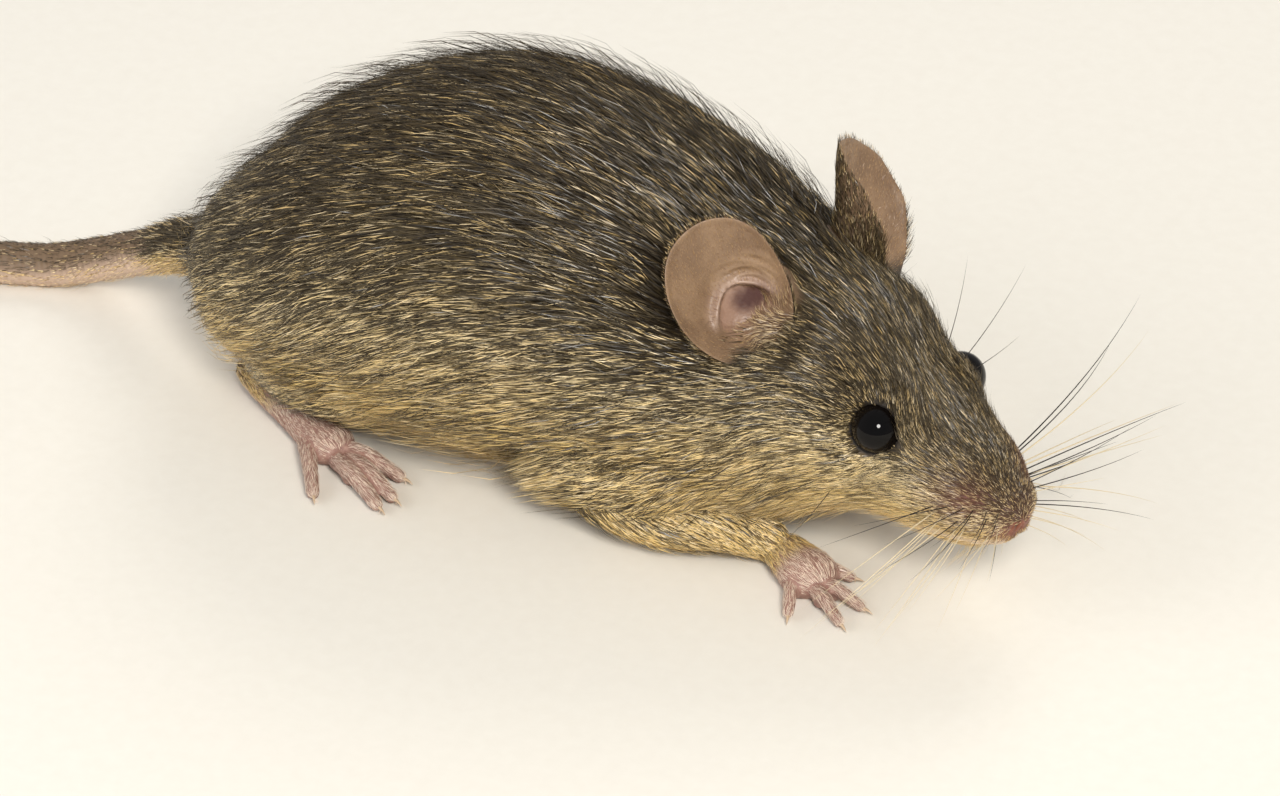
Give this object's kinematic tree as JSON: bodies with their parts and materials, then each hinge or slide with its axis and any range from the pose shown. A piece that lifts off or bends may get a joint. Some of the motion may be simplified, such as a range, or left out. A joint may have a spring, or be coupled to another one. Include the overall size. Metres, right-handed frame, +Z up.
{
  "type": "house mouse",
  "caption": "Life-size house mouse crouched on four feet, head turned aside, round ears, agouti coat, long ringed tail laid out behind.",
  "frame": {"origin": "on the ground under the middle of the whole animal's box, tail included", "axes": "+X the way the trunk faces, along the body and tail; +Y the mouse's left; +Z up"},
  "size_m": [0.1296, 0.0294, 0.0282],
  "materials": {
    "fur": "short dense agouti coat, brown above and buff below",
    "ear_skin": "thin brown-pink skin with a fine down",
    "foot_skin": "pink skin with sparse pale hairs",
    "nose_skin": "moist pink skin",
    "tail_skin": "finely ringed scaly skin with short stiff hairs, darker above",
    "eye": "wet glossy black"
  },
  "bodies": {
    "root": {"eye_right": "eye", "ear_right": "ear_skin", "fore_leg_right": "fur", "fore_foot_right": "foot_skin", "hind_leg_right": "fur", "hind_foot_right": "foot_skin", "eye_left": "eye", "ear_left": "ear_skin", "fore_leg_left": "fur", "fore_foot_left": "foot_skin", "hind_leg_left": "fur", "hind_foot_left": "foot_skin", "muzzle": "fur", "head": "fur", "neck": "fur", "chest": "fur", "trunk": "fur", "rump": "fur", "nose": "nose_skin", "tail_1": "tail_skin", "tail_2": "tail_skin", "tail_3": "tail_skin", "tail_4": "tail_skin"}
  },
  "joints": []
}
